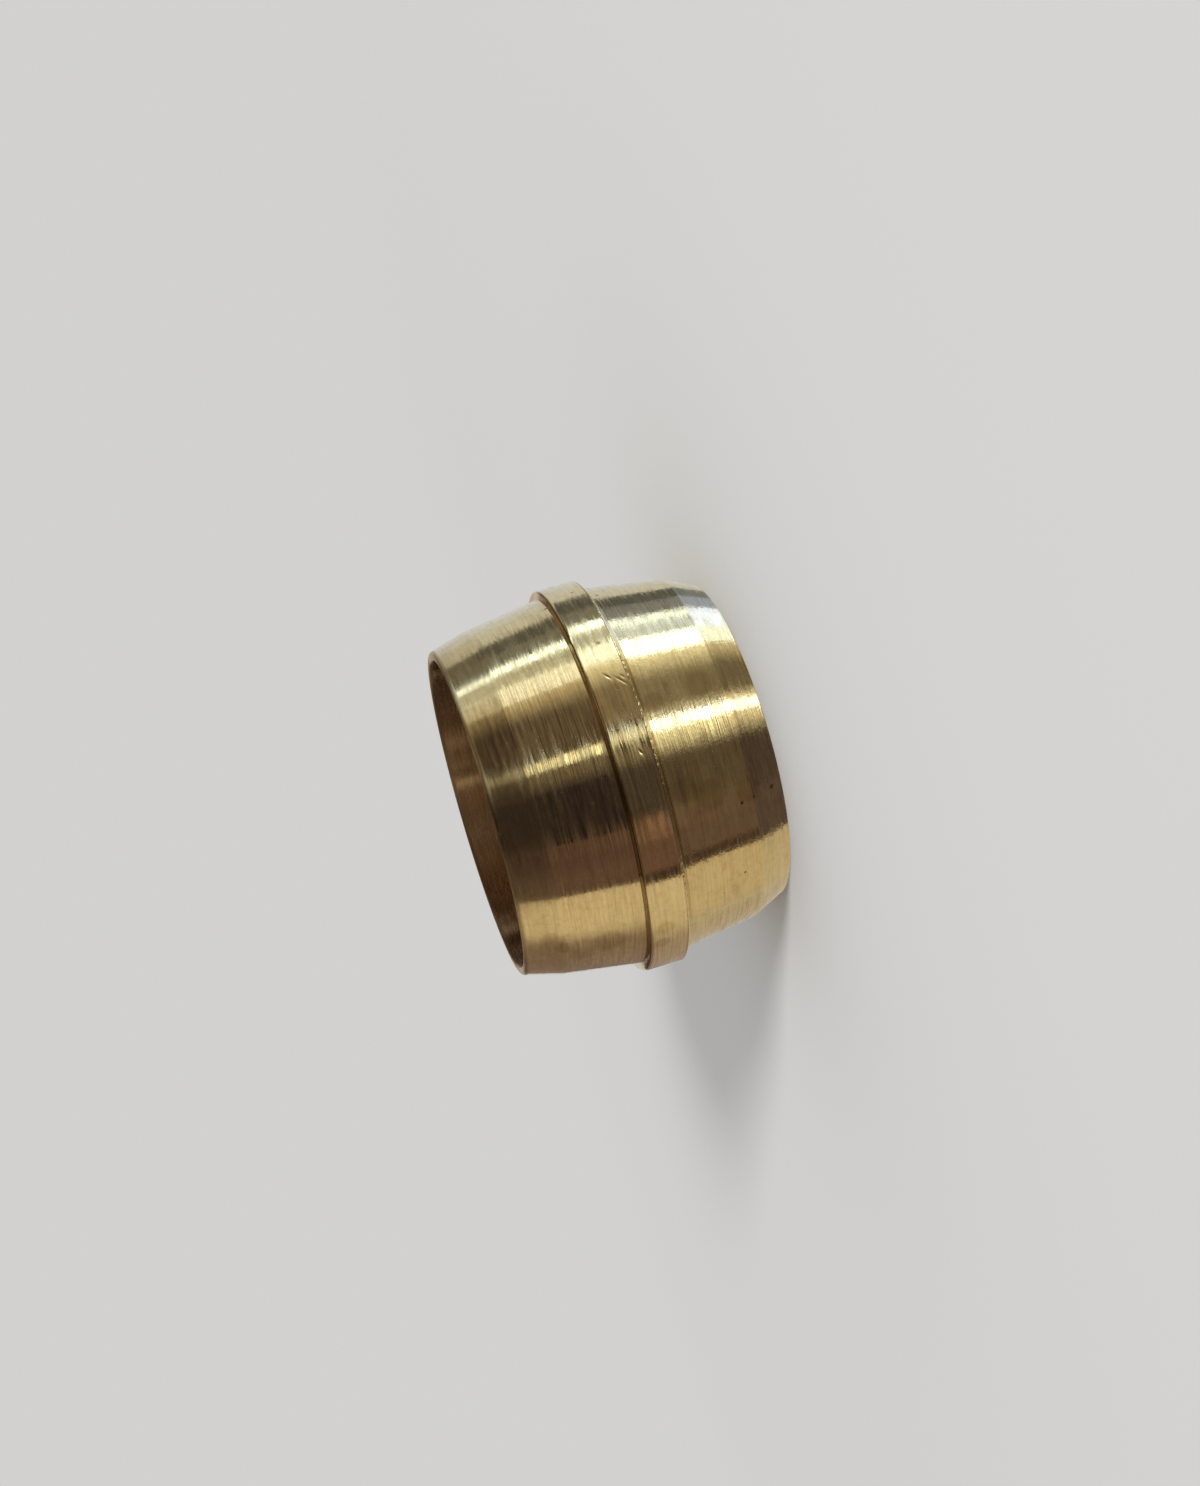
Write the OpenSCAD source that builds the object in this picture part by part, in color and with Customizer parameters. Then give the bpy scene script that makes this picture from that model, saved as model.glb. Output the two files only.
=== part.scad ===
// Hose ferrule: a turned brass sleeve with two tapers and a raised stop band.
// It stands on its foot end, with Z along the bore and the origin at the
// centre of the foot face. All sizes are in millimetres and degrees.

/* [Bore] */
// Diameter of the bore that slides over the hose
bore_d = 19.2; // [10:0.1:40]
// Chamfer at both mouths of the bore
bore_chamfer = 0.08; // [0.02:0.01:0.1]

/* [Foot end] */
// Wall left at the rim of the foot end
foot_wall = 0.26; // [0.2:0.01:1.5]
// Length of the steep lead-in taper
foot_lead_len = 2.0; // [0.8:0.1:5]
// Slope of the lead-in taper against the axis
foot_lead_a = 24.2; // [12:0.1:40]
// Length of the long seat taper
foot_taper_len = 4.75; // [2:0.05:12]
// Slope of the seat taper against the axis
foot_taper_a = 8.0; // [4:0.1:12]

/* [Mouth end] */
// Wall left at the rim of the mouth end
mouth_wall = 0.5; // [0.2:0.01:1.5]
// Length of the steep lead-in taper
mouth_lead_len = 2.3; // [0.8:0.1:5]
// Slope of the lead-in taper against the axis
mouth_lead_a = 15.5; // [12:0.1:40]
// Length of the long seat taper
mouth_taper_len = 4.62; // [2:0.05:12]
// Slope of the seat taper against the axis
mouth_taper_a = 8.7; // [4:0.1:12]

/* [Stop band] */
// Width of the cylindrical top of the band
band_w = 2.2; // [1:0.1:5]
// Height of the band above the higher of the two seat tapers
band_rise = 0.55; // [0.3:0.01:2]
// Axial run of the step down towards the foot end
step_run = 0.33; // [0.1:0.01:0.6]
// Axial run of the sharp shoulder that faces the mouth end
shoulder_run = 0.3; // [0.1:0.01:0.6]

/* [Edges] */
// Radius on both corners of the band
band_edge_r = 0.12; // [0.03:0.01:0.25]
// Tool-nose radius left in the root of the step and of the shoulder
root_r = 0.15; // [0.03:0.01:0.4]
// Radius where a lead-in meets its seat taper
blend_r = 0.6; // [0.1:0.1:3]
// Radius on the outer edge of both rims
rim_r = 0.08; // [0.02:0.01:0.1]

/* [Hidden] */
$fn = 180;
// Flats along each corner arc
arc_steps = 6;
// Most of a neighbouring line that a corner arc may take up
arc_share = 0.45;
// How far a cutter runs past the end faces
overrun = 1;

bore_r = bore_d / 2;

// Radii along the foot end, from its rim up to the band
foot_rim_r = bore_r + foot_wall;
foot_blend_r = foot_rim_r + foot_lead_len * tan(foot_lead_a);
foot_root_r = foot_blend_r + foot_taper_len * tan(foot_taper_a);

// Radii along the mouth end, from its rim down to the band
mouth_rim_r = bore_r + mouth_wall;
mouth_blend_r = mouth_rim_r + mouth_lead_len * tan(mouth_lead_a);
mouth_root_r = mouth_blend_r + mouth_taper_len * tan(mouth_taper_a);

band_r = max(foot_root_r, mouth_root_r) + band_rise;

// Heights above the foot face
foot_blend_z = foot_lead_len;
step_z = foot_blend_z + foot_taper_len;
band_low_z = step_z + step_run;
band_high_z = band_low_z + band_w;
shoulder_z = band_high_z + shoulder_run;
mouth_blend_z = shoulder_z + mouth_taper_len;
length = mouth_blend_z + mouth_lead_len;

function unit(v) = v / norm(v);

// Arc of radius r that rounds off a corner between its two neighbours,
// shortened where a neighbouring line is too short to hold it
function corner_arc(before, corner, after, r) =
    let (
        back = unit(before - corner),
        ahead = unit(after - corner),
        half = acos(back * ahead) / 2,
        room = arc_share * min(norm(before - corner), norm(after - corner)),
        reach = min(r / tan(half), room),
        arc_r = reach * tan(half),
        centre = corner + unit(back + ahead) * arc_r / sin(half),
        start = corner + back * reach - centre,
        stop = corner + ahead * reach - centre,
        start_a = atan2(start.y, start.x),
        sweep = atan2(cross(start, stop), start * stop)
    )
    [for (i = [0 : arc_steps])
        let (a = start_a + sweep * i / arc_steps)
        centre + arc_r * [cos(a), sin(a)]];

// Corners of the outer profile as [radius, height, corner radius]
outer_corners = [
    [0, 0, 0],
    [foot_rim_r, 0, rim_r],
    [foot_blend_r, foot_blend_z, blend_r],
    [foot_root_r, step_z, root_r],
    [band_r, band_low_z, band_edge_r],
    [band_r, band_high_z, band_edge_r],
    [mouth_root_r, shoulder_z, root_r],
    [mouth_blend_r, mouth_blend_z, blend_r],
    [mouth_rim_r, length, rim_r],
    [0, length, 0]
];

function corner_xy(i) = [outer_corners[i].x, outer_corners[i].y];

// The outer profile, with each corner that has a radius drawn as an arc
outer_profile = [
    for (i = [0 : len(outer_corners) - 1])
        each outer_corners[i].z > 0
            ? corner_arc(corner_xy(i - 1), corner_xy(i), corner_xy(i + 1), outer_corners[i].z)
            : [corner_xy(i)]
];

// The bar as turned outside, before it is drilled
module turned_blank() {
    rotate_extrude()
        polygon(outer_profile);
}

// A 45 degree chamfer cutter, widest where it runs past the end face at z = 0
module chamfer_cutter() {
    translate([0, 0, -overrun])
        cylinder(
            r1 = bore_r + bore_chamfer + overrun,
            r2 = bore_r,
            h = bore_chamfer + overrun
        );
}

// The through bore with a chamfer at each mouth
module bore_cutter() {
    translate([0, 0, -overrun])
        cylinder(d = bore_d, h = length + 2 * overrun);
    chamfer_cutter();
    translate([0, 0, length])
        mirror([0, 0, 1])
            chamfer_cutter();
}

module ferrule() {
    color([0.72, 0.60, 0.34])
        difference() {
            turned_blank();
            bore_cutter();
        }
}

ferrule();
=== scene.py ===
"""A turned brass hose ferrule, dressed for a plain studio picture.

The ferrule stands on its foot end with Z along the bore. Sizes inside the classes are in
millimetres, as on a turner's drawing, and become metres where a mesh, lamp or camera is made.
Azimuths are in degrees round the bore, counted from the side that faces the camera and
growing towards the lower side of the picture.
"""

import logging
import math
from dataclasses import dataclass, field
from enum import Enum
from typing import Any, Self

import bpy
import numpy as np
from mathutils import Matrix, Vector


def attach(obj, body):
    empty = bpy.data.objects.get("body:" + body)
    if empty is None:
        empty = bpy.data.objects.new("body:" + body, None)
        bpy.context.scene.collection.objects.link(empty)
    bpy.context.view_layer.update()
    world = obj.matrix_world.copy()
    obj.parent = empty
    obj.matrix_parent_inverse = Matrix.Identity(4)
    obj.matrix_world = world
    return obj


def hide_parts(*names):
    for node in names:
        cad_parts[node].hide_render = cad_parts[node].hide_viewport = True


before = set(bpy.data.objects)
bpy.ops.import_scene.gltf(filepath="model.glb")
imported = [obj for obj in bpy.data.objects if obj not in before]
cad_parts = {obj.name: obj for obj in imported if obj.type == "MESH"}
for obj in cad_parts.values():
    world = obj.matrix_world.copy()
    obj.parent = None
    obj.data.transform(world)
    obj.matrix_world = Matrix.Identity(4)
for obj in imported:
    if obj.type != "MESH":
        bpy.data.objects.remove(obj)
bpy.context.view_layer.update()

MM = 0.001
Colour = tuple[float, float, float]

log = logging.getLogger("hose_ferrule")


class Value:
    """A number socket of a node tree, on which plain arithmetic adds Math nodes."""

    def __init__(self, tree: "Tree", socket: bpy.types.NodeSocket) -> None:
        """Wraps an output socket of the tree."""
        self.tree = tree
        self.socket = socket

    def _math(self, operation: str, *operands: Any, clamp: bool = False) -> Self:
        """Adds one Math node.

        Args:
            operation: Blender's name of the operation.
            operands: Values or numbers, in the order of the node's sockets.
            clamp: Whether the result is held between 0 and 1.

        Returns:
            The node's result.
        """
        settings = {"operation": operation, "use_clamp": clamp}
        sockets = dict(enumerate(operands))
        return type(self)(self.tree, self.tree.add("ShaderNodeMath", settings, sockets).outputs[0])

    def __add__(self, other: Any) -> Self:
        """Sum."""
        return self._math("ADD", self, other)

    def __radd__(self, other: Any) -> Self:
        """Sum with a number on the left."""
        return self._math("ADD", other, self)

    def __sub__(self, other: Any) -> Self:
        """Difference."""
        return self._math("SUBTRACT", self, other)

    def __rsub__(self, other: Any) -> Self:
        """Difference from a number on the left."""
        return self._math("SUBTRACT", other, self)

    def __mul__(self, other: Any) -> Self:
        """Product."""
        return self._math("MULTIPLY", self, other)

    def __rmul__(self, other: Any) -> Self:
        """Product with a number on the left."""
        return self._math("MULTIPLY", other, self)

    def __truediv__(self, other: Any) -> Self:
        """Quotient."""
        return self._math("DIVIDE", self, other)

    def __rtruediv__(self, other: Any) -> Self:
        """Quotient with a number on the left."""
        return self._math("DIVIDE", other, self)

    def root(self) -> Self:
        """Square root."""
        return self._math("SQRT", self)

    def clamped(self) -> Self:
        """The value held between 0 and 1."""
        return self._math("ADD", self, 0.0, clamp=True)

    def rise(self, start: float, stop: float) -> Self:
        """A smooth step.

        Args:
            start: Where the step is still 0.
            stop: Where it has reached 1; below start for a falling step.

        Returns:
            0 to 1, with no corner at either end.
        """
        settings = {"interpolation_type": "SMOOTHSTEP"}
        sockets = {"Value": self, "From Min": start, "From Max": stop}
        made = self.tree.add("ShaderNodeMapRange", settings, sockets)
        return type(self)(self.tree, made.outputs[0])

    def between(self, low: float, high: float, soft: float) -> Self:
        """1 from low to high, falling to 0 over the soft width outside them."""
        return self.rise(low - soft, low) * self.rise(high + soft, high)


class Tree:
    """A node tree that is built from empty by one method."""

    def __init__(self, owner: bpy.types.ID) -> None:
        """Clears the owner's tree.

        Args:
            owner: A material or a world.
        """
        owner.use_nodes = True
        self.nodes = owner.node_tree.nodes
        self.links = owner.node_tree.links
        self.nodes.clear()

    def add(self, kind: str, settings: dict[str, Any] | None = None,
            sockets: dict[Any, Any] | None = None) -> bpy.types.Node:
        """Adds a node.

        Args:
            kind: The node's type.
            settings: Its properties, and "stops" for a ramp, set before the sockets.
            sockets: Numbers, colours, Values or output sockets, by input name or index.

        Returns:
            The node.
        """
        node = self.nodes.new(kind)
        for name, setting in (settings or {}).items():
            if name == "stops":
                self._set_stops(node.color_ramp, setting)
            else:
                setattr(node, name, setting)
        for name, given in (sockets or {}).items():
            given = given.socket if isinstance(given, Value) else given
            if isinstance(given, bpy.types.NodeSocket):
                self.links.new(given, node.inputs[name])
            else:
                node.inputs[name].default_value = given
        return node

    @staticmethod
    def _set_stops(ramp: bpy.types.ColorRamp, stops: list[tuple[float, Colour]]) -> None:
        """Gives a ramp its stops, as pairs of place and colour."""
        while len(ramp.elements) < len(stops):
            ramp.elements.new(1.0)
        for element, (place, colour) in zip(ramp.elements, stops, strict=True):
            element.position = place
            element.color = (*colour, 1.0)

    def value(self, socket: bpy.types.NodeSocket) -> Value:
        """Wraps a socket for arithmetic."""
        return Value(self, socket)

    def noise(self, place: bpy.types.NodeSocket, detail: float, roughness: float = 0.5) -> Value:
        """Noise from 0 to 1 round a mean of a half.

        Args:
            place: The coordinates, already scaled to the size of the pattern.
            detail: How many finer octaves are added.
            roughness: How strong they are.

        Returns:
            The noise.
        """
        sockets = {"Vector": place, "Scale": 1.0, "Detail": detail, "Roughness": roughness}
        return self.value(self.add("ShaderNodeTexNoise", {}, sockets).outputs[0])

    def combine(self, x: Any, y: Any, z: Any) -> bpy.types.NodeSocket:
        """A vector of three values."""
        return self.add("ShaderNodeCombineXYZ", {}, {0: x, 1: y, 2: z}).outputs[0]

    def mix(self, share: Any, first: Any, second: Any, blend: str = "MIX") -> bpy.types.NodeSocket:
        """Blends two colours.

        Args:
            share: How much of the second, 0 to 1.
            first: Colour or socket at a share of 0.
            second: Colour or socket at a share of 1.
            blend: Blender's name of the blend.

        Returns:
            The blended colour.
        """
        first, second = ((*c, 1.0) if isinstance(c, tuple) else c for c in (first, second))
        settings = {"data_type": "RGBA", "blend_type": blend}
        return self.add("ShaderNodeMix", settings, {0: share, 6: first, 7: second}).outputs[2]


@dataclass(frozen=True)
class Corner:
    """A corner of the turned profile: its radius, height and rounding, in millimetres."""

    r: float
    z: float
    rounding: float = 0.0


@dataclass(frozen=True)
class Nick:
    """A small dent or burr: where it is, how far it reaches and how deep it goes.

    A negative depth stands proud. Turn slants it, in degrees from the round-the-bore direction.
    """

    azimuth: float
    z: float
    around: float
    along: float
    depth: float
    turn: float = 0.0


@dataclass(frozen=True)
class Spot:
    """A brown stain or a faint smudge, the latter partly painted shade: where it is and its radius in
    millimetres.
    """

    azimuth: float
    z: float
    radius: float


@dataclass(frozen=True)
class Grain:
    """A noise pattern drawn out round the turned surface, and what it does to the finish.

    Around is how fine it is round the bore, pitch its height along the profile in millimetres,
    and shift sets it apart from a pattern of like size. Relief is its depth in millimetres,
    polish how far it varies the roughness, and shade its part in the dark tool marks.
    """

    around: float
    pitch: float
    detail: float
    roughness: float = 0.5
    shift: float = 0.0
    relief: float = 0.0
    polish: float = 0.0
    shade: float = 0.0

    def noise(self, tree: Tree, side_x: Value, side_y: Value, along: Value) -> Value:
        """Adds the pattern, at a direction from the axis and a place along the profile."""
        place = tree.combine(side_x * self.around + self.shift, side_y * self.around, along / self.pitch)
        return tree.noise(place, self.detail, self.roughness)


@dataclass(frozen=True)
class Veil:
    """A thin tarnish in clouds: how fine they are, where their noise starts to show, how strong.

    Across and up are scales per millimetre; at zero the veil follows a pattern that it is given.
    """

    start: float
    stop: float
    strength: float
    across: float = 0.0
    up: float = 0.0
    detail: float = 0.0
    roughness: float = 0.6

    def noise(self, tree: Tree, x: Value, y: Value, z: Value) -> Value:
        """Adds the veil's clouds to a tree, at a place in millimetres."""
        place = tree.combine(x * self.across, y * self.across, z * self.up)
        return tree.noise(place, self.detail, self.roughness)

    def over(self, pattern: Value) -> Value:
        """The tarnish over a pattern, from 0 to the veil's strength."""
        return pattern.rise(self.start, self.stop) * self.strength


@dataclass(frozen=True)
class Zones:
    """Masks of the zones whose finish differs from plain turned brass, each 0 to 1."""

    inside: Value
    burred: Value
    roots: Value
    rim: Value
    mouth_lead: Value
    foot_side: Value


@dataclass(frozen=True)
class TurnedBrass:
    """Bright brass off the lathe, with fine tool marks and a little handling tarnish.

    Lengths are in millimetres. What ends in _rough is what a zone adds to the roughness, and lead_grime
    and root_shade add to the tarnish, the root's share being painted shade that darkens the corner at the
    root of the shoulder. What ends in strength is the share of its colour that shows.
    """

    name: str = "turned_brass"
    bright: Colour = (0.84, 0.67, 0.33)
    tarnish: Colour = (0.50, 0.33, 0.13)
    patina: Colour = (0.67, 0.44, 0.23)
    stain: Colour = (0.20, 0.11, 0.04)
    line_shade: Colour = (0.60, 0.54, 0.47)
    line_low: float = 0.3
    line_high: float = 0.62
    line_strength: float = 0.45
    stain_strength: float = 0.7
    # Share of the smudged tarnish, which on the lower side is painted shade.
    smudge_and_shade_strength: float = 0.45

    ridge: Grain = Grain(3.0, 0.14, 1.5, 0.6, relief=0.016, shade=0.5)
    streak: Grain = Grain(3.5, 0.20, 2.0, 0.6, shift=7.0, polish=3.0)
    dash: Grain = Grain(11.0, 0.15, 1.0, relief=0.003, polish=0.9, shade=0.3)
    broad: Grain = Grain(1.2, 0.8, 2.0, polish=0.6, shade=0.2)
    mottle: Grain = Grain(24.0, 0.42, 2.0, 0.7, relief=0.0015)
    burr: Grain = Grain(45.0, 0.25, 1.0, 0.6, relief=0.055)
    face_share: float = 0.7
    lead_smoothing: float = 0.006
    foot_mottle: float = 0.005

    blotches: Veil = Veil(0.47, 0.72, 0.2, across=0.28, up=0.35, detail=4.0)
    smears: Veil = Veil(0.55, 0.72, 0.18, across=0.9, up=0.8, detail=3.0)
    specks: Veil = Veil(0.45, 0.75, 0.25)
    lead_grime: float = 0.18
    # Painted shade: extra tarnish that darkens the corner at the root of the shoulder.
    root_shade: float = 0.6

    roughness: float = 0.185
    lead_polish: float = 0.5
    lead_rough: float = 0.01
    inside_rough: float = 0.06
    grime_rough: float = 0.03
    root_rough: float = -0.07
    stain_rough: float = 0.2
    burr_rough: float = 0.12
    rim_rough: float = 0.22

    inside_edge: tuple[float, float] = (0.12, 0.02)
    burr_edge: tuple[float, float] = (-0.10, 0.05)
    burr_soft: float = 0.04
    root_height: float = 0.11
    root_soft: float = 0.03
    rim_edge: tuple[float, float] = (-0.26, -0.14)
    lead_edge: tuple[float, float] = (-0.35, 0.25)

    fray: float = 1.6
    smudge_smear: float = 0.6
    smudge_mottle: float = 0.4
    spot_edge: tuple[float, float] = (1.25, 0.7)
    spots: tuple[Spot, ...] = (
        Spot(-66.1, 6.40, 0.10), Spot(-65.6, 7.84, 0.09), Spot(-37.8, 7.98, 0.13),
        Spot(-65.5, 9.62, 0.10), Spot(-46.7, 15.98, 0.11), Spot(18.4, 0.72, 0.14),
        Spot(18.7, 1.98, 0.10), Spot(19.4, 2.75, 0.10), Spot(43.7, 3.19, 0.09),
    )
    # Smudged tarnish; the spots at azimuths 50 to 61 are painted shade, which frays the edge of the darker
    # reflection on the lower side.
    smudges_and_shade: tuple[Spot, ...] = (
        Spot(51.0, 8.55, 0.62), Spot(58.0, 8.75, 0.50), Spot(50.5, 15.0, 0.55),
        Spot(56.0, 11.6, 1.05), Spot(61.0, 13.2, 0.80), Spot(55.0, 14.3, 0.60),
        Spot(10.5, 5.9, 0.80), Spot(14.0, 4.6, 0.90), Spot(16.0, 2.2, 0.70),
        Spot(-16.5, 6.1, 0.60), Spot(-19.0, 3.2, 0.90),
    )

    def _spread(self, tree: Tree, sleeve: "FerruleSleeve", spots: tuple[Spot, ...],
                place: bpy.types.NodeSocket, ragged: Value) -> Value:
        """Masks spots on the sleeve.

        Args:
            tree: The material's tree.
            sleeve: The sleeve that they lie on.
            spots: The spots.
            place: Object coordinates.
            ragged: Noise that frays their edges.

        Returns:
            The mask, 0 to 1.
        """
        mask = tree.value(tree.add("ShaderNodeValue").outputs[0]) * 0.0
        for spot in spots:
            turned = math.radians(spot.azimuth)
            r = sleeve.outer_r(spot.z)
            centre = (-r * math.sin(turned) * MM, -r * math.cos(turned) * MM, spot.z * MM)
            away = tree.add("ShaderNodeVectorMath", {"operation": "DISTANCE"}, {0: place, 1: centre})
            share = tree.value(away.outputs["Value"]) * (1 / (spot.radius * MM))
            reach = share + (ragged - 0.5) * self.fray
            mask = (mask + reach.rise(*self.spot_edge)).clamped()
        return mask

    def _zones(self, sleeve: "FerruleSleeve", r: Value, z: Value) -> Zones:
        """Masks the sleeve's zones, by the distance from the axis and the height."""
        return Zones(
            inside=r.rise(*(sleeve.bore_r + edge for edge in self.inside_edge)),
            burred=z.between(*(sleeve.band_low_z + edge for edge in self.burr_edge), self.burr_soft),
            roots=z.between(sleeve.shoulder_z - self.root_height, sleeve.shoulder_z, self.root_soft),
            rim=z.rise(*(sleeve.length + edge for edge in self.rim_edge)),
            mouth_lead=z.rise(*(sleeve.mouth_blend_z + edge for edge in self.lead_edge)),
            foot_side=z.rise(sleeve.shoulder_z, sleeve.step_z))

    def _colour(self, tree: Tree, zones: Zones, grime_and_shade: Value, smudges_and_shade: Value, stains: Value,
                lines: Value) -> bpy.types.NodeSocket:
        """Lays patina, smudged tarnish that is partly painted shade, stains, dark tool marks and painted
        shade at the shoulder's root over the brass.

        Args:
            tree: The material's tree.
            zones: Masks of the zones.
            grime_and_shade: Tarnish all over, with painted shade that darkens the root of the shoulder, 0
                to 1.
            smudges_and_shade: Mask of the smudged tarnish, which on the lower side is painted shade that
                frays the edge of the darker reflection there.
            stains: Mask of the stains.
            lines: Noise of the tool marks, dark where it is low.

        Returns:
            The colour.
        """
        # Tarnish over bright brass, with painted shade at the root of the shoulder.
        colour = tree.mix(grime_and_shade, self.bright, self.tarnish)
        colour = tree.mix(zones.inside, colour, self.patina)
        # Smudged tarnish, painted shade on the lower side where it frays the edge of the darker reflection.
        colour = tree.mix(smudges_and_shade * self.smudge_and_shade_strength, colour, self.tarnish)
        colour = tree.mix(stains * self.stain_strength, colour, self.stain)
        stops = [(self.line_low, self.line_shade), (self.line_high, (1.0, 1.0, 1.0))]
        shade = tree.add("ShaderNodeValToRGB", {"stops": stops}, {0: lines}).outputs[0]
        return tree.mix(self.line_strength, colour, shade, "MULTIPLY")

    def material(self, sleeve: "FerruleSleeve") -> bpy.types.Material:
        """Builds the material.

        Args:
            sleeve: The sleeve, whose heights part the zones of the surface.

        Returns:
            The material, on Object coordinates.
        """
        made = bpy.data.materials.new(self.name)
        tree = Tree(made)
        place = tree.add("ShaderNodeTexCoord").outputs["Object"]
        parts = tree.add("ShaderNodeSeparateXYZ", {}, {0: place}).outputs
        x, y, z = (tree.value(part) * (1 / MM) for part in parts)
        r = (x * x + y * y).root()
        sides = (x / r, y / r)
        run = z + r * self.face_share
        zones = self._zones(sleeve, r, z)

        ridge = self.ridge.noise(tree, *sides, run)
        streak = self.streak.noise(tree, *sides, run)
        dash = self.dash.noise(tree, *sides, run)
        broad = self.broad.noise(tree, *sides, run)
        mottle = self.mottle.noise(tree, *sides, run)
        burr = self.burr.noise(tree, *sides, z)
        smear = self.smears.noise(tree, x, y, z)

        # Tarnish in clouds, in specks and on the mouth's lead-in, plus painted shade that darkens the root
        # of the shoulder.
        grime_and_shade = (self.blotches.over(self.blotches.noise(tree, x, y, z)) + zones.mouth_lead * self.lead_grime
                 + self.smears.over(smear) + self.specks.over(mottle)
                 + zones.roots * self.root_shade).clamped()
        stains = self._spread(tree, sleeve, self.spots, place, mottle)
        cloudy = smear * self.smudge_smear + mottle * self.smudge_mottle
        smudges_and_shade = self._spread(tree, sleeve, self.smudges_and_shade, place, cloudy)
        lines = ridge * self.ridge.shade + broad * self.broad.shade + dash * self.dash.shade

        marks = ((streak - 0.5) * self.streak.polish + (dash - 0.5) * self.dash.polish
                 + (broad - 0.5) * self.broad.polish)
        rough = (1.0 + marks * (1.0 - zones.mouth_lead * self.lead_polish)) * self.roughness
        rough = (rough + zones.mouth_lead * self.lead_rough + zones.inside * self.inside_rough
                 + grime_and_shade * self.grime_rough + zones.roots * self.root_rough + stains * self.stain_rough
                 + zones.burred * self.burr_rough + zones.rim * self.rim_rough).clamped()
        height = (ridge * (self.ridge.relief - zones.mouth_lead * self.lead_smoothing)
                  + dash * self.dash.relief + burr * zones.burred * self.burr.relief
                  + mottle * (zones.foot_side * self.foot_mottle + self.mottle.relief))

        bump = tree.add("ShaderNodeBump", {}, {"Strength": 1.0, "Distance": MM, "Height": height})
        shader = tree.add("ShaderNodeBsdfPrincipled", {}, {
            "Base Color": self._colour(tree, zones, grime_and_shade, smudges_and_shade, stains, lines), "Metallic": 1.0,
            "Roughness": rough, "Anisotropic": 1.0, "Anisotropic Rotation": 0.25,
            "Normal": bump.outputs[0]})
        tree.add("ShaderNodeOutputMaterial", {}, {0: shader.outputs[0]})
        return made


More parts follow.
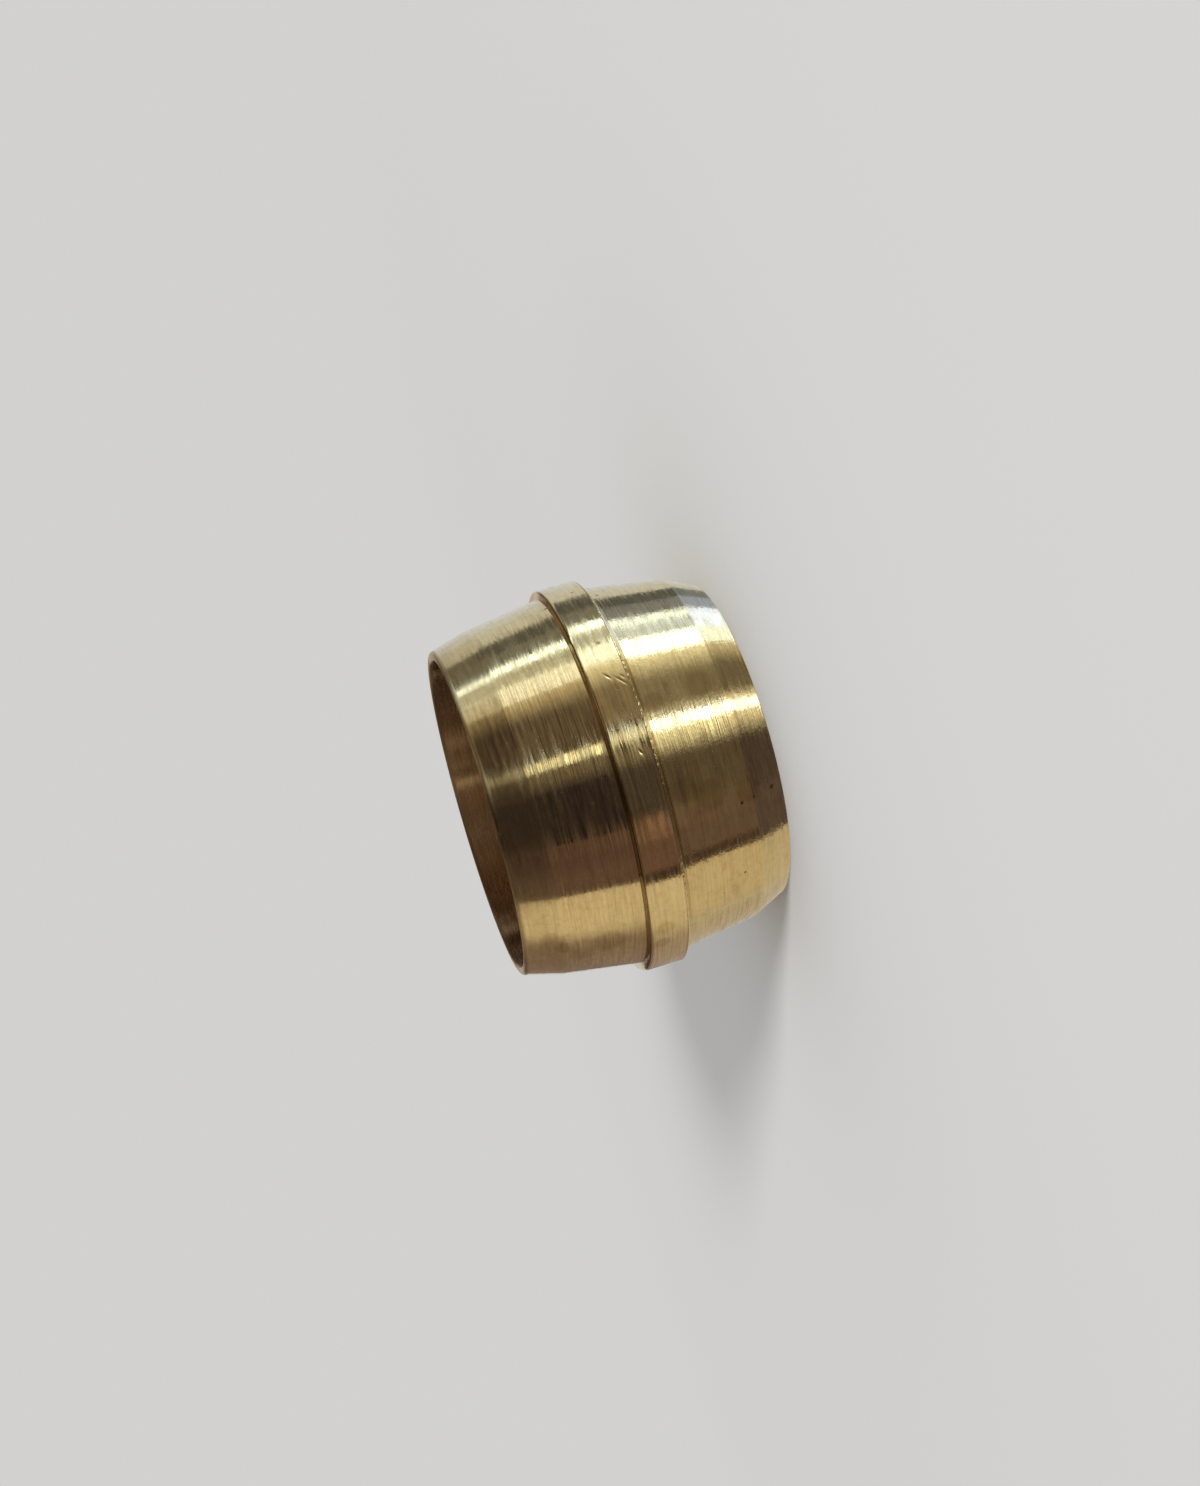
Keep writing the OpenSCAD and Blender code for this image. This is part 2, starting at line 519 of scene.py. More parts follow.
@dataclass
class FerruleSleeve:
    """The one-piece sleeve: bore, two seat tapers with lead-ins, and the stop band.

    Slopes are in degrees to the axis. The run of the band's shoulder, the band's width and some
    corners' radii differ from the solid's by up to 0.2 mm, as the photograph shows them. The nicks
    are worked into rings and segments that lie closer together there.
    """

    bore_r: float = 9.6
    bore_chamfer: float = 0.08
    foot_wall: float = 0.26
    foot_lead_len: float = 2.0
    foot_lead_a: float = 24.2
    foot_taper_len: float = 4.75
    foot_taper_a: float = 8.0
    mouth_wall: float = 0.5
    mouth_lead_len: float = 2.3
    mouth_lead_a: float = 15.5
    mouth_taper_len: float = 4.70
    mouth_taper_a: float = 8.7
    band_w: float = 2.32
    band_rise: float = 0.538
    step_run: float = 0.33
    shoulder_run: float = 0.10
    shoulder_edge_r: float = 0.17
    band_edge_r: float = 0.07
    root_r: float = 0.05
    blend_r: float = 0.6
    foot_rim_r: float = 0.08
    mouth_rim_r: float = 0.2
    arc_steps: int = 6
    arc_share: float = 0.45
    ring_spacing: float = 0.25
    fine_spacing: float = 0.05
    fine_heights: tuple[tuple[float, float], ...] = ((7.15, 8.75), (10.6, 11.25))
    fine_margin: float = 0.03
    bore_ring_spacing: float = 0.6
    edge_support: float = 0.02
    support_min_run: float = 0.12
    outside_corners: int = 8
    nick_wall: float = 0.1
    segments: int = 360
    fine_segment: float = 0.25
    fine_azimuths: tuple[tuple[float, float], ...] = ((-30.0, -21.0), (-6.0, -1.0), (3.0, 12.0))
    finish: TurnedBrass = field(default_factory=TurnedBrass)
    nicks: tuple[Nick, ...] = (
        Nick(-26.3, 8.23, 0.32, 0.055, 0.030, 36.0),
        Nick(-24.1, 7.58, 0.50, 0.050, 0.028, 38.0),
        Nick(-25.2, 7.42, 0.22, 0.045, 0.020, 30.0),
        Nick(-22.0, 7.95, 0.14, 0.050, 0.018, 20.0),
        Nick(-3.5, 7.83, 0.24, 0.055, 0.030, 20.0),
        Nick(-13.7, 8.62, 0.09, 0.070, 0.015, 0.0),
        Nick(6.3, 11.0, 0.30, 0.050, 0.022, 62.0),
        Nick(9.4, 10.78, 0.42, 0.050, 0.022, 8.0),
        Nick(9.0, 16.45, 0.25, 0.18, 0.05),
    )

    @property
    def step_z(self) -> float:
        """Height of the root of the step below the band."""
        return self.foot_lead_len + self.foot_taper_len

    @property
    def band_low_z(self) -> float:
        """Lower edge of the band."""
        return self.step_z + self.step_run

    @property
    def band_high_z(self) -> float:
        """Upper edge of the band."""
        return self.band_low_z + self.band_w

    @property
    def shoulder_z(self) -> float:
        """Height of the root of the shoulder above the band."""
        return self.band_high_z + self.shoulder_run

    @property
    def mouth_blend_z(self) -> float:
        """Height where the mouth's seat taper meets its lead-in."""
        return self.shoulder_z + self.mouth_taper_len

    @property
    def length(self) -> float:
        """Whole length of the sleeve."""
        return self.mouth_blend_z + self.mouth_lead_len

    def corners(self) -> list[Corner]:
        """The closed profile, up the outside from the foot and down the bore.

        Returns:
            Its corners, each radius found from the one before and the slope between.
        """
        foot_rim = self.bore_r + self.foot_wall
        foot_blend = foot_rim + self.foot_lead_len * math.tan(math.radians(self.foot_lead_a))
        foot_root = foot_blend + self.foot_taper_len * math.tan(math.radians(self.foot_taper_a))
        mouth_rim = self.bore_r + self.mouth_wall
        mouth_blend = mouth_rim + self.mouth_lead_len * math.tan(math.radians(self.mouth_lead_a))
        mouth_root = mouth_blend + self.mouth_taper_len * math.tan(math.radians(self.mouth_taper_a))
        band = max(foot_root, mouth_root) + self.band_rise
        return [
            Corner(foot_rim, 0.0, self.foot_rim_r),
            Corner(foot_blend, self.foot_lead_len, self.blend_r),
            Corner(foot_root, self.step_z, self.root_r),
            Corner(band, self.band_low_z, self.band_edge_r),
            Corner(band, self.band_high_z, self.shoulder_edge_r),
            Corner(mouth_root, self.shoulder_z, self.root_r),
            Corner(mouth_blend, self.mouth_blend_z, self.blend_r),
            Corner(mouth_rim, self.length, self.mouth_rim_r),
            Corner(self.bore_r + self.bore_chamfer, self.length),
            Corner(self.bore_r, self.length - self.bore_chamfer),
            Corner(self.bore_r, self.bore_chamfer),
            Corner(self.bore_r + self.bore_chamfer, 0.0),
        ]

    def _arc(self, before: Corner, corner: Corner, after: Corner) -> np.ndarray:
        """Rounds one corner.

        The arc touches both neighbouring lines; its centre lies on their bisector, and it is
        shortened where a line is too short to hold it.

        Args:
            before: The corner before it in the profile.
            corner: The corner.
            after: The corner after it.

        Returns:
            The arc's points as rows of radius and height, or the bare corner.
        """
        here = np.array([corner.r, corner.z])
        if not corner.rounding:
            return here[None]
        back = np.array([before.r, before.z]) - here
        ahead = np.array([after.r, after.z]) - here
        room = self.arc_share * min(np.linalg.norm(back), np.linalg.norm(ahead))
        back, ahead = back / np.linalg.norm(back), ahead / np.linalg.norm(ahead)
        half = math.acos(float(back @ ahead)) / 2
        reach = min(corner.rounding / math.tan(half), room)
        arc_r = reach * math.tan(half)
        bisector = (back + ahead) / np.linalg.norm(back + ahead)
        centre = here + bisector * arc_r / math.sin(half)
        start, stop = here + back * reach - centre, here + ahead * reach - centre
        sweep = math.atan2(start[0] * stop[1] - start[1] * stop[0], float(start @ stop))
        angle = math.atan2(start[1], start[0]) + sweep * np.linspace(0, 1, self.arc_steps + 1)
        return centre + arc_r * np.stack([np.cos(angle), np.sin(angle)], axis=1)

    def profile(self) -> np.ndarray:
        """The closed profile with rounded corners and rings along its straight stretches.

        Returns:
            Rows of radius and height, in order round the section.
        """
        corners = self.corners()
        count = len(corners)
        arcs = [self._arc(corners[i - 1], corners[i], corners[(i + 1) % count]) for i in range(count)]
        pieces = []
        for i, arc in enumerate(arcs):
            start, stop = arc[-1], arcs[(i + 1) % count][0]
            run = float(np.linalg.norm(stop - start))
            bore = max(start[0], stop[0]) < self.bore_r + self.bore_chamfer / 2
            spacing = self.bore_ring_spacing if bore else self.ring_spacing
            steps = max(1, round(run / spacing))
            share = np.linspace(0, 1, steps + 1)[1:-1]
            support = self.edge_support / run
            if run > self.support_min_run:
                share = np.concatenate([[support], share, [1 - support]])
            if not bore:
                share = self._with_fine_rings(share, start[1], stop[1])
            pieces += [arc, start + share[:, None] * (stop - start)]
        return np.concatenate(pieces)

    def _with_fine_rings(self, share: np.ndarray, start_z: float, stop_z: float) -> np.ndarray:
        """Sets the rings of a straight stretch closer together where there are nicks.

        Args:
            share: The stretch's rings, as shares of its run.
            start_z: Height at its start.
            stop_z: Height at its end.

        Returns:
            The shares, with those inside each fine height replaced by closer ones.
        """
        for low, high in self.fine_heights:
            low = max(low, min(start_z, stop_z) + self.fine_margin)
            high = min(high, max(start_z, stop_z) - self.fine_margin)
            if high - low < 2 * self.fine_spacing:
                continue
            fine = np.arange(low, high, self.fine_spacing)
            height = start_z + share * (stop_z - start_z)
            share = share[(height < low - self.fine_spacing / 2) | (height > high + self.fine_spacing / 2)]
            share = np.sort(np.concatenate([share, (fine - start_z) / (stop_z - start_z)]))
        return share

    def _angles(self) -> np.ndarray:
        """The segments' angles in radians, closer together where there are nicks.

        They grow from -Y towards +X, against the azimuths that the nicks are given in.
        """
        degrees = np.linspace(-180, 180, self.segments, endpoint=False)
        for low, high in self.fine_azimuths:
            degrees = degrees[(degrees < -high) | (degrees > -low)]
            closer = np.arange(-high, -low + self.fine_segment / 2, self.fine_segment)
            degrees = np.concatenate([degrees, closer])
        return np.radians(np.sort(degrees))

    def outer_r(self, height: float) -> float:
        """Radius of the outside at a height, without its rounded corners."""
        outside = self.corners()[:self.outside_corners]
        return float(np.interp(height, [c.z for c in outside], [c.r for c in outside]))

    def surface(self) -> np.ndarray:
        """Turns the profile round the bore and works the nicks into it.

        A point at radius r, height z and angle a lies at r sin a, minus r cos a, z. Each nick
        pushes the surface in by its depth times a bell curve of the distance from its centre,
        measured along and across its slant.

        Returns:
            Points in millimetres, by ring, segment and axis.
        """
        r, z = self.profile().T[:, :, None]
        angle = self._angles()[None]
        push = np.zeros((r.shape[0], angle.shape[1]))
        outside = np.clip((r - self.bore_r - self.nick_wall) / self.nick_wall, 0, 1)
        for nick in self.nicks:
            turn = math.radians(nick.turn)
            away = (angle + math.radians(nick.azimuth) + np.pi) % (2 * np.pi) - np.pi
            across, up = away * r, z - nick.z
            first = (across * math.cos(turn) + up * math.sin(turn)) / nick.around
            second = (up * math.cos(turn) - across * math.sin(turn)) / nick.along
            push += nick.depth * np.exp(-2 * (first**2 + second**2)) * outside
        radius = r - push
        height = np.broadcast_to(z, radius.shape)
        return np.stack([radius * np.sin(angle), -radius * np.cos(angle), height], axis=-1)

    def build(self) -> bpy.types.Object:
        """Makes the closed mesh from the grid of points.

        Returns:
            The sleeve, dressed and riding on its body.
        """
        points = self.surface() * MM
        rings, segments = points.shape[:2]
        index = np.arange(rings * segments).reshape(rings, segments)
        up, on = np.roll(index, -1, axis=0), np.roll(index, -1, axis=1)
        over = np.roll(up, -1, axis=1)
        quads = np.stack([index, on, over, up], axis=-1).reshape(-1, 4)
        mesh = bpy.data.meshes.new("sleeve")
        mesh.from_pydata(points.reshape(-1, 3), [], quads)
        mesh.shade_smooth()
        mesh.validate()
        piece = bpy.data.objects.new("sleeve", mesh)
        bpy.context.scene.collection.objects.link(piece)
        mesh.materials.append(self.finish.material(self))
        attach(piece, "root")
        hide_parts("ferrule")
        return piece


@dataclass(frozen=True)
class Side:
    """The horizontal directions that go with the camera's azimuth about the part."""

    azimuth: float

    def towards(self, angle: float | np.ndarray) -> np.ndarray:
        """The level direction at an azimuth from the camera's side, or at each of several."""
        turned = np.radians(self.azimuth - angle)
        return np.stack([np.sin(turned), -np.cos(turned), 0 * turned], axis=-1)


class Tint(Enum):
    """What the cards are covered with: each colour at a level of 1, as bright as white paper."""

    BLUE = (0.40, 0.53, 1.0)
    SKY = (0.60, 0.76, 1.0)
    COOL = (0.84, 0.90, 1.0)
    WHITE = (0.97, 1.0, 0.90)
    CREAM = (1.0, 0.93, 0.82)
    STRAW = (1.0, 0.84, 0.65)
    TAUPE = (1.0, 0.78, 0.71)
    PLUM = (1.0, 0.77, 0.93)
    CLAY = (1.0, 0.57, 0.57)
    UMBER = (1.0, 0.63, 0.54)

    def at(self, level: float) -> Colour:
        """The tint at a level."""
        return tuple(level * part for part in self.value)


BLUE, SKY, COOL, WHITE, CREAM, STRAW, TAUPE, PLUM, CLAY, UMBER = Tint


@dataclass(frozen=True)
class Glow:
    """The light of a sheet, and where the sheet is clear.

    Stops are colours at places from 0 to 1, up the sheet or across it. Soft start and stop are
    the widths over which it fades in and out across, in the unit of its width. A side without
    one ends sharply. A one-sided sheet is clear from behind.
    """

    stops: list[tuple[float, Colour]]
    upward: bool
    width: float = 1.0
    soft_start: float = 0.0
    soft_stop: float = 0.0
    one_sided: bool = False
    before_edge: float = -0.01

    def material(self, name: str) -> bpy.types.Material:
        """Builds the material, on the sheet's UV map.

        Args:
            name: The material's name.

        Returns:
            The material.
        """
        made = bpy.data.materials.new(name)
        made.cycles.emission_sampling = "NONE"
        tree = Tree(made)
        place = tree.add("ShaderNodeTexCoord").outputs["UV"]
        across, up, _ = tree.add("ShaderNodeSeparateXYZ", {}, {0: place}).outputs
        colour = tree.add("ShaderNodeValToRGB", {"stops": self.stops}, {0: up if self.upward else across})
        shader = tree.add("ShaderNodeEmission", {}, {"Color": colour.outputs[0], "Strength": 1.0})
        shown = None
        if self.one_sided:
            shown = 1.0 - tree.value(tree.add("ShaderNodeNewGeometry").outputs["Backfacing"])
        if self.soft_start or self.soft_stop:
            run = tree.value(across) * self.width
            shown = (run.rise(self.before_edge, self.soft_start)
                     * (self.width - run).rise(self.before_edge, self.soft_stop))
        if shown is not None:
            clear = tree.add("ShaderNodeBsdfTransparent")
            sockets = {0: shown, 1: clear.outputs[0], 2: shader.outputs[0]}
            shader = tree.add("ShaderNodeMixShader", {}, sockets)
        tree.add("ShaderNodeOutputMaterial", {}, {0: shader.outputs[0]})
        return made


@dataclass(frozen=True)
class Card:
    """A glowing panel that the brass mirrors and the camera doesn't see.

    Where it hangs is told by the brass: start and stop are the azimuths, low and high the
    slopes, in degrees, of the brass that mirrors its edges to the camera. Tones are its tints
    and levels at chosen slopes. It fades in and out over its soft widths, and a card of a
    higher layer hangs nearer, in front of the others.
    """

    name: str
    start: float
    stop: float
    tones: tuple[tuple[float, Tint, float], ...]
    low: float = -60.0
    high: float = 42.0
    soft_start: float = 0.0
    soft_stop: float = 0.0
    lean: float = 0.004
    layer: int = 0

    @property
    def width(self) -> float:
        """Degrees from start to stop."""
        return self.stop - self.start

    @property
    def height(self) -> float:
        """Degrees from low to high."""
        return self.high - self.low

    @property
    def glow(self) -> Glow:
        """Its tones up the sheet, faded in and out across it."""
        stops = [((slope - self.low) / self.height, tint.at(level)) for slope, tint, level in self.tones]
        if len(stops) == 1:
            stops = [(0.0, stops[0][1]), (1.0, stops[0][1])]
        return Glow(stops, True, self.width, self.soft_start, self.soft_stop)


@dataclass(frozen=True)
class Throat:
    """A glowing tube over the mouth, which the bore's wall mirrors; only its inside shows.

    Tones are its tints and levels at chosen azimuths, all round.
    """

    name: str = "throat"
    r: float = 9.4
    low: float = 16.6
    high: float = 45.0
    columns: int = 72
    tones: tuple[tuple[float, Tint, float], ...] = (
        (-180, COOL, 0.05), (-163, COOL, 0.05), (-157, WHITE, 0.8), (-149, WHITE, 0.8),
        (-141, TAUPE, 0.05), (-80, TAUPE, 0.07), (-64, CREAM, 0.14), (-18, CREAM, 0.23),
        (-14, CREAM, 0.32), (-11, CREAM, 0.23), (34, CREAM, 0.20), (37.5, CREAM, 1.8),
        (40, CREAM, 1.8), (43.5, CREAM, 0.10), (50, CREAM, 0.10), (60, CREAM, 0.55),
        (68, CREAM, 0.20), (76, CREAM, 0.20), (86, CREAM, 0.6), (96, CREAM, 0.4),
        (112, CREAM, 0.14), (180, COOL, 0.10))

    @property
    def glow(self) -> Glow:
        """Its tones across the sheet, which is once round the tube."""
        stops = [(azimuth / 360 + 0.5, tint.at(level)) for azimuth, tint, level in self.tones]
        return Glow(stops, False, one_sided=True)


@dataclass
class Studio:
    """Pale floor, pale surroundings, one soft lamp, and the cards that the brass reflects."""

    side: Side
    eye: Vector
    centre_z: float = 8.0
    brass_r: float = 11.3
    globe_r: float = 450.0
    layer_gap: float = 12.0
    lean_low: float = -10.0
    lean_high: float = 20.0
    column: float = 1.0
    row: float = 2.0
    backdrop: Colour = (0.645, 0.640, 0.628)
    floor_colour: Colour = (0.655, 0.653, 0.649)
    floor_r: float = 170.0
    floor_segments: int = 96
    fade_start: float = 40.0
    patch_r: float = 9.5
    hub_r: float = 0.01
    throat: Throat = Throat()
    lamp_azimuth: float = -27.0
    lamp_elevation: float = 17.0
    lamp_distance: float = 2000.0
    lamp_size: float = 450.0
    lamp_power: float = 46.0
    cards: tuple[Card, ...] = (
        Card("upper_paper", -89, -61.5, ((0, COOL, 0.78),)),
        Card("paper_tail", -70, -60.2, ((0, COOL, 0.78),), high=-5.0, layer=1),
        Card("upper_flag", -61.5, -53.5, (
            (-24, SKY, 0.30), (-8, COOL, 0.11), (16, COOL, 0.14))),
        Card("flag_edge", -53.5, -46.8, (
            (-24, BLUE, 1.0), (-8, COOL, 0.26), (9, COOL, 0.28), (16, COOL, 0.18))),
        Card("thin_window", -46.8, -43.8, (
            (-24, BLUE, 2.9), (-8, SKY, 2.3), (0, SKY, 4.4), (9, SKY, 4.4),
            (16, SKY, 2.4))),
        Card("grey_wall", -43.8, -37.4, (
            (-24, BLUE, 3.4), (-8, SKY, 1.0), (0, COOL, 0.75), (9, WHITE, 0.55),
            (16, COOL, 0.75))),
        Card("wide_window", -37.4, -31.0, (
            (-24, SKY, 2.0), (-19, SKY, 2.4), (-12, SKY, 6.5), (-8, SKY, 6.5),
            (-5, SKY, 1.9), (9, COOL, 2.0), (16, CREAM, 0.42))),
        Card("olive_wall", -31.0, -1.0, (
            (-24, CREAM, 0.17), (-8, CREAM, 0.28), (0, STRAW, 0.30), (8, TAUPE, 0.15),
            (13, PLUM, 0.035))),
        Card("window_reveal", -31.0, -22.0, (
            (-24, CREAM, 0.71), (-8, WHITE, 1.2), (0, WHITE, 0.97), (9, STRAW, 0.78),
            (15, STRAW, 0.20)), soft_stop=9.0, layer=1),
        Card("narrow_window", -10.3, -7.3, (
            (-24, SKY, 3.3), (-17, SKY, 4.5), (-13, SKY, 11.0), (-10, SKY, 7.5),
            (-7.5, CREAM, 0.5), (2, CREAM, 0.5), (7, WHITE, 2.5), (10, WHITE, 1.7),
            (12, UMBER, 0.03)), lean=0.012, layer=2),
        Card("narrow_glow", -14.0, -10.3, (
            (-24, CREAM, 0.96), (-13, COOL, 1.8), (-9, COOL, 1.3), (-7, UMBER, 0.06),
            (3, UMBER, 0.08), (9, STRAW, 0.23), (13, PLUM, 0.035)),
             soft_start=3.6, lean=0.012, layer=1),
        Card("narrow_fade", -7.3, 0.5, (
            (-24, CREAM, 0.72), (-13, WHITE, 2.4), (-9, WHITE, 1.9), (-7, TAUPE, 0.056),
            (3, TAUPE, 0.07), (9, STRAW, 0.33), (13, PLUM, 0.035)),
             soft_stop=7.7, lean=0.012, layer=3),
        Card("dark_wall", -4.0, 16.0, (
            (-24, PLUM, 0.068), (-8, STRAW, 0.145), (0, PLUM, 0.068), (9, PLUM, 0.02),
            (16, PLUM, 0.043)), soft_start=4.0, lean=0.0, layer=2),
        Card("red_wall", 16.0, 33.2, (
            (-24, PLUM, 0.098), (-8, TAUPE, 0.145), (0, CLAY, 0.187), (9, CLAY, 0.122),
            (14, PLUM, 0.05)), lean=0.0),
        Card("lead_glow", 18.0, 33.2, ((20, TAUPE, 0.23),), low=13.0, soft_start=14.0,
             lean=0.0, layer=2),
        Card("warm_patch", 12.0, 20.5, ((0, UMBER, 0.29),), low=-4.0, high=4.5, soft_start=3.0,
             lean=0.0, layer=4),
        Card("foot_patch", 9.0, 16.0, ((-8, STRAW, 0.15), (0, TAUPE, 0.10)), low=-17.0,
             high=-4.0, soft_start=4.0, lean=0.0, layer=4),
        Card("dark_edge", 29.4, 32.6, ((-8, UMBER, 0.075), (0, TAUPE, 0.04)), low=-14.0,
             high=4.5, soft_start=0.6, lean=-0.003, layer=4),
        Card("lower_paper", 33.2, 55.0, (
            (-24, CREAM, 0.59), (-8, STRAW, 0.60), (0, CREAM, 0.74), (9, STRAW, 0.60),
            (16, CREAM, 0.80)), lean=0.0),
        Card("shadow_paper", 49.0, 89.0, (
            (-24, CREAM, 0.55), (-8, CREAM, 0.52), (0, TAUPE, 0.39), (9, TAUPE, 0.25),
            (16, TAUPE, 0.21)), soft_start=10.0, layer=1),
        Card("high_paper", 34, 89, ((30, TAUPE, 0.28),), low=26.0, high=39.0, layer=4),
        Card("ceiling_flag", -89, 89, ((60, TAUPE, 0.22),), low=38.0, high=80.0, soft_start=8.0),
        Card("ceiling_corner", 54, 89, ((60, UMBER, 0.09),), low=38.0, high=80.0, soft_start=12.0,
             layer=1),
        Card("ceiling_side", -84, -30, ((60, UMBER, 0.055),), low=35.0, high=84.0,
             soft_start=24.0, layer=2),
        Card("ceiling_dark", -37, 40, (
            (20, TAUPE, 0.05), (34, UMBER, 0.018), (60, UMBER, 0.016),
            (84, UMBER, 0.05)), low=19.0, high=84.0, soft_start=34.0, soft_stop=6.0, layer=3),
        Card("ceiling", -89, 89, ((42, CREAM, 0.60), (74, CREAM, 0.50), (84, STRAW, 0.70)),
             low=42.0, high=90.0, layer=-1),
        Card("line_top", -76, -46, ((30, CREAM, 0.42),), low=24.0, high=42.0, soft_start=6.0,
             soft_stop=10.0, layer=5),
        Card("line_upper", -30, 2, ((30, TAUPE, 0.30),), low=26.0, high=42.0, soft_start=10.0,
             soft_stop=20.0, layer=5),
        Card("line_lower", 10, 33, ((30, TAUPE, 0.12),), low=26.0, high=42.0, soft_start=12.0,
             layer=5),
        Card("under_upper", -89, -34, ((-50, WHITE, 0.73),), low=-70.0, high=-38.0, soft_stop=6.0,
             layer=5),
        Card("under_olive", -40, 2, ((-50, STRAW, 0.41),), low=-70.0, high=-38.0, soft_start=5.0,
             soft_stop=8.0, layer=6),
        Card("under_dark", -4, 34, ((-50, STRAW, 0.17),), low=-70.0, high=-38.0, soft_stop=2.0,
             layer=5),
        Card("under_lower", 32, 89, ((-50, STRAW, 0.59),), low=-70.0, high=-38.0, soft_start=1.0,
             layer=6),
    )

    def _place(self, name: str, mesh: bpy.types.Mesh) -> bpy.types.Object:
        """Links a stage mesh into the scene."""
        made = bpy.data.objects.new(name, mesh)
        bpy.context.scene.collection.objects.link(made)
        return made

    def surroundings(self) -> None:
        """Fills the world with the backdrop's pale colour, which every ray sees."""
        world = bpy.data.worlds.new("surroundings")
        bpy.context.scene.world = world
        tree = Tree(world)
        glow = tree.add("ShaderNodeBackground", {}, {"Color": (*self.backdrop, 1.0), "Strength": 1.0})
        tree.add("ShaderNodeOutputWorld", {}, {0: glow.outputs[0]})

    def floor(self) -> None:
        """Lays a pale disc that fades into the surroundings towards its edge.

        The brass doesn't mirror the floor, apart from the patch that the bore stands round.
        """
        material = bpy.data.materials.new("pale_floor")
        tree = Tree(material)
        place = tree.add("ShaderNodeTexCoord").outputs["Object"]
        away = tree.add("ShaderNodeVectorMath", {"operation": "LENGTH"}, {0: place}).outputs["Value"]
        fade = (tree.value(away) / MM).rise(self.fade_start, self.floor_r)
        matt = tree.add("ShaderNodeBsdfDiffuse", {}, {"Color": (*self.floor_colour, 1.0)})
        clear = tree.add("ShaderNodeBsdfTransparent")
        both = tree.add("ShaderNodeMixShader", {}, {0: fade, 1: matt.outputs[0], 2: clear.outputs[0]})
        tree.add("ShaderNodeOutputMaterial", {}, {0: both.outputs[0]})
        count = self.floor_segments
        around = np.linspace(0, 2 * np.pi, count, endpoint=False)
        circle = np.stack([np.cos(around), np.sin(around), np.zeros(count)], axis=1) * MM
        start = np.arange(count)
        stop = np.roll(start, -1)
        quads = np.stack([start, start + count, stop + count, stop], axis=-1)
        rings = {"floor": (self.patch_r, self.floor_r), "floor_patch": (self.hub_r, self.patch_r)}
        for name, (inner, outer) in rings.items():
            mesh = bpy.data.meshes.new(name)
            mesh.from_pydata(np.concatenate([circle * inner, circle * outer]), [], quads)
            mesh.materials.append(material)
            self._place(name, mesh).visible_glossy = name == "floor_patch"

    def _card_points(self, card: Card, across: np.ndarray, up: np.ndarray) -> np.ndarray:
        """Finds where a card hangs, by mirroring the camera in the brass.

        With P a point of the brass, n its normal and v the direction from P to the camera,
        the card's point is P + R (2 (n.v) n - v), R being the globe's radius less the layers'
        gaps. Edges lean a little with the slope.

        Args:
            card: The card.
            across: Shares of its width.
            up: Shares of its height.

        Returns:
            Points in millimetres, by share up, share across and axis.
        """
        slope = card.low + card.height * up[:, None]
        bend = 1 - card.lean * np.clip(slope, self.lean_low, self.lean_high)
        tilt = np.radians(slope)
        level = self.side.towards((card.start + card.width * across) * bend)
        normal = level * np.cos(tilt)[..., None]
        normal[..., 2] = np.sin(tilt)
        foot = level * self.brass_r + np.array([0, 0, self.centre_z])
        view = np.array(self.eye) - foot
        view /= np.linalg.norm(view, axis=-1, keepdims=True)
        mirrored = 2 * (normal * view).sum(axis=-1, keepdims=True) * normal - view
        return foot + mirrored * (self.globe_r - card.layer * self.layer_gap)

    def _hang(self, sheet: Card | Throat, points: np.ndarray, across: np.ndarray, up: np.ndarray) -> None:
        """Hangs a sheet that only reflections see.

        Args:
            sheet: What is hung.
            points: Its points in millimetres, by share up, share across and axis.
            across: Shares of its width, for its UV map.
            up: Shares of its height.
        """
        index = np.arange(points[..., 0].size).reshape(points.shape[:2])
        quads = np.stack([index[:-1, :-1], index[:-1, 1:], index[1:, 1:], index[1:, :-1]], axis=-1)
        mesh = bpy.data.meshes.new(sheet.name)
        mesh.from_pydata(points.reshape(-1, 3) * MM, [], quads.reshape(-1, 4))
        shares = np.stack(np.meshgrid(across, up), axis=-1).reshape(-1, 2)
        mesh.uv_layers.new(name="shares").data.foreach_set("uv", shares[quads.ravel()].ravel())
        mesh.materials.append(sheet.glow.material(sheet.name))
        made = self._place(sheet.name, mesh)
        made.visible_camera = made.visible_diffuse = made.visible_shadow = False

    def hang_card(self, card: Card) -> None:
        """Hangs one card, a column to each degree and a row to every other one."""
        across = np.linspace(0, 1, max(2, round(card.width / self.column)) + 1)
        up = np.linspace(0, 1, max(2, round(card.height / self.row)) + 1)
        self._hang(card, self._card_points(card, across, up), across, up)

    def hang_throat(self) -> None:
        """Stands the throat over the mouth, its front to the axis."""
        across = np.linspace(0, 1, self.throat.columns + 1)
        ring = self.side.towards(360 * (across - 0.5)) * self.throat.r
        points = np.stack([ring + (0, 0, self.throat.low), ring + (0, 0, self.throat.high)])
        self._hang(self.throat, points, across, np.array([0.0, 1.0]))

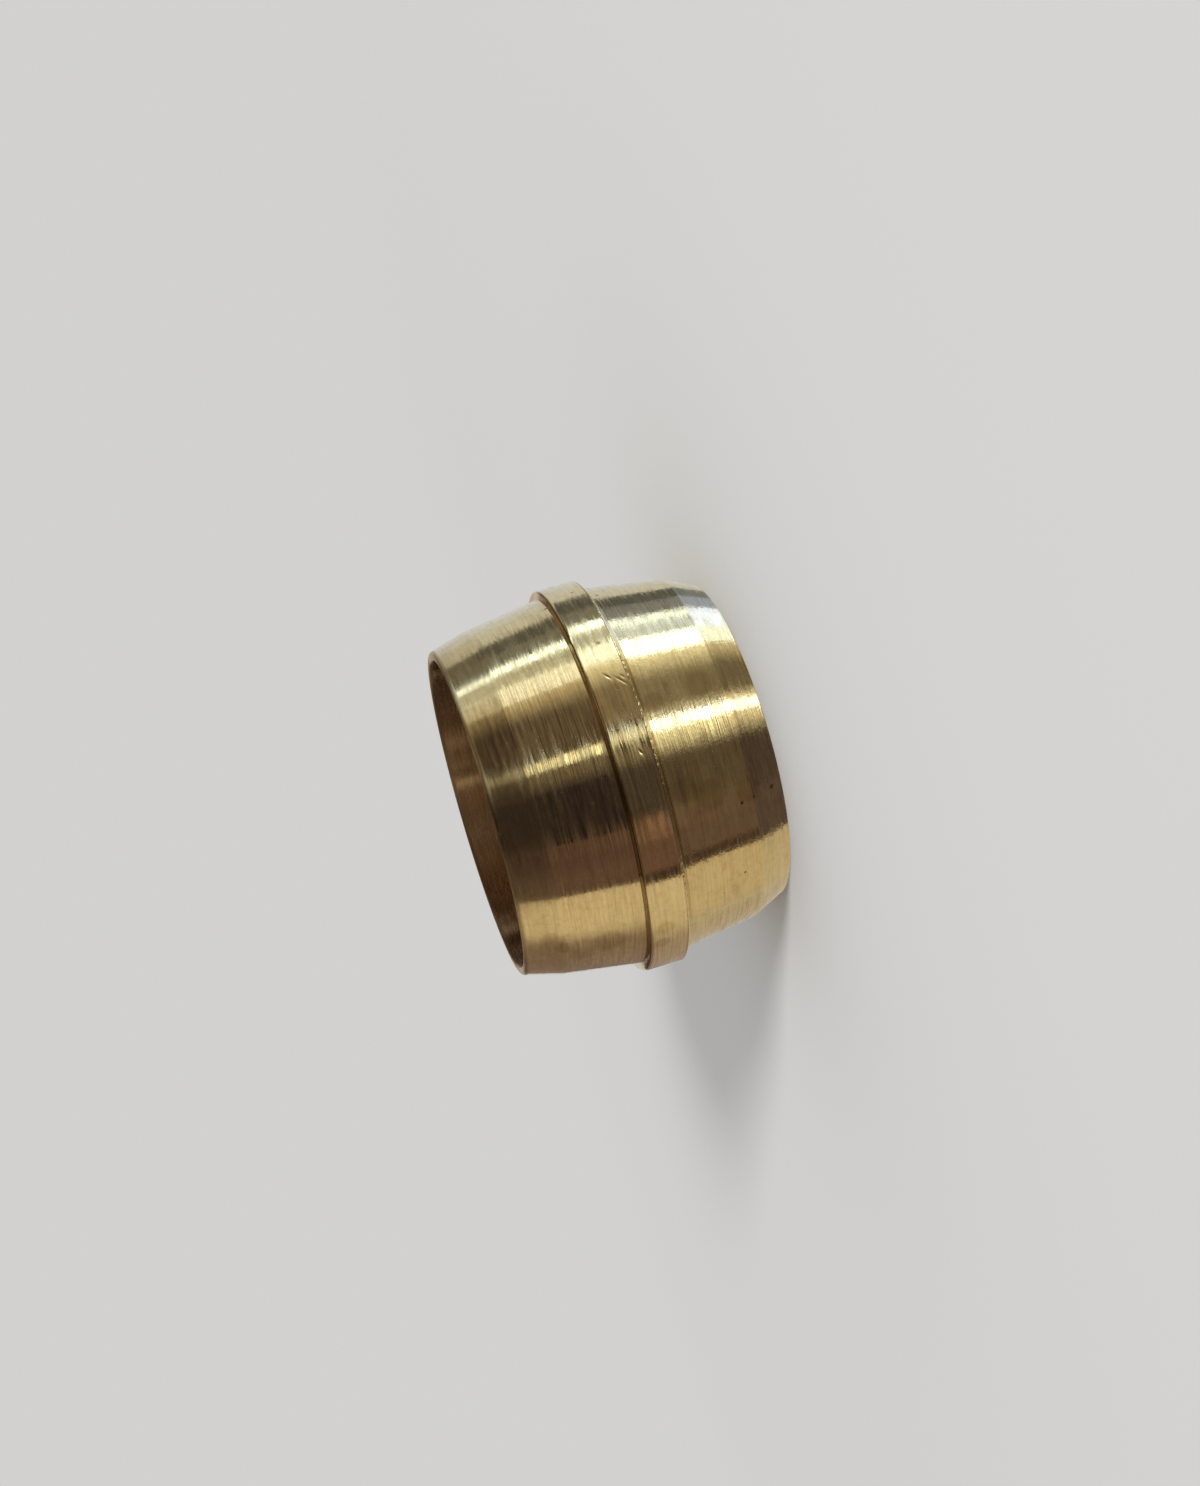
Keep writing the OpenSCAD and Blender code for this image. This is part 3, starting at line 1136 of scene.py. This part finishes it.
    def lamp(self) -> None:
        """Hangs the soft lamp, aimed at the part."""
        data = bpy.data.lights.new("soft_lamp", "AREA")
        data.shape = "DISK"
        data.size = self.lamp_size * MM
        data.energy = self.lamp_power
        made = bpy.data.objects.new("soft_lamp", data)
        bpy.context.scene.collection.objects.link(made)
        rise = math.radians(self.lamp_elevation)
        away = Vector(self.side.towards(self.lamp_azimuth)) * math.cos(rise)
        away += Vector((0, 0, math.sin(rise)))
        made.location = away * self.lamp_distance * MM + Vector((0, 0, self.centre_z * MM))
        made.rotation_mode = "QUATERNION"
        made.rotation_quaternion = away.to_track_quat("Z", "Y")
        made.visible_camera = made.visible_glossy = False

    def build(self) -> None:
        """Sets up the whole studio."""
        self.surroundings()
        self.floor()
        self.lamp()
        self.hang_throat()
        for card in self.cards:
            self.hang_card(card)


@dataclass(frozen=True)
class PhotoCamera:
    """The camera at the photograph's viewing angle and framing.

    The photograph shows the ferrule lying with its mouth to the left, so the camera is rolled
    against the standing part.
    """

    side: Side
    picture_h_px: int = 1486
    focal_px: float = 2078.6
    sensor_mm: float = 36.0
    axis_distance: float = 125.25
    height: float = 28.17
    aim_offset: float = 2.04
    aim_z: float = 7.95
    roll: float = 106.07
    clip_near: float = 5.0
    clip_far: float = 20000.0

    @property
    def place(self) -> Vector:
        """Where the camera stands, in millimetres."""
        return Vector(self.side.towards(0)) * self.axis_distance + Vector((0, 0, self.height))

    def build(self) -> None:
        """Places the camera and makes it the scene's own."""
        data = bpy.data.cameras.new("photo_camera")
        data.sensor_width = self.sensor_mm
        data.lens = self.sensor_mm * self.focal_px / self.picture_h_px
        data.clip_start, data.clip_end = self.clip_near * MM, self.clip_far * MM
        up = Vector((0, 0, 1))
        aim = Vector(self.side.towards(-90)) * self.aim_offset + up * self.aim_z
        ahead = (aim - self.place).normalized()
        level = ahead.cross(up).normalized()
        upright = level.cross(ahead)
        roll = math.radians(self.roll)
        top = upright * math.cos(roll) + level * math.sin(roll)
        right = ahead.cross(top)
        made = bpy.data.objects.new("photo_camera", data)
        bpy.context.scene.collection.objects.link(made)
        turned = Matrix((right, top, -ahead)).transposed().to_4x4()
        made.matrix_world = Matrix.Translation(self.place * MM) @ turned
        bpy.context.scene.camera = made


def main() -> None:
    """Builds the camera, the studio and the ferrule."""
    logging.basicConfig(level=logging.INFO, format="%(name)s: %(message)s")
    side = Side(azimuth=0.0)
    camera = PhotoCamera(side)
    camera.build()
    Studio(side, camera.place).build()
    piece = FerruleSleeve().build()
    log.info("%s: %d faces", piece.name, len(piece.data.polygons))
    bpy.context.scene.view_settings.view_transform = "Standard"


if __name__ == "__main__":
    main()
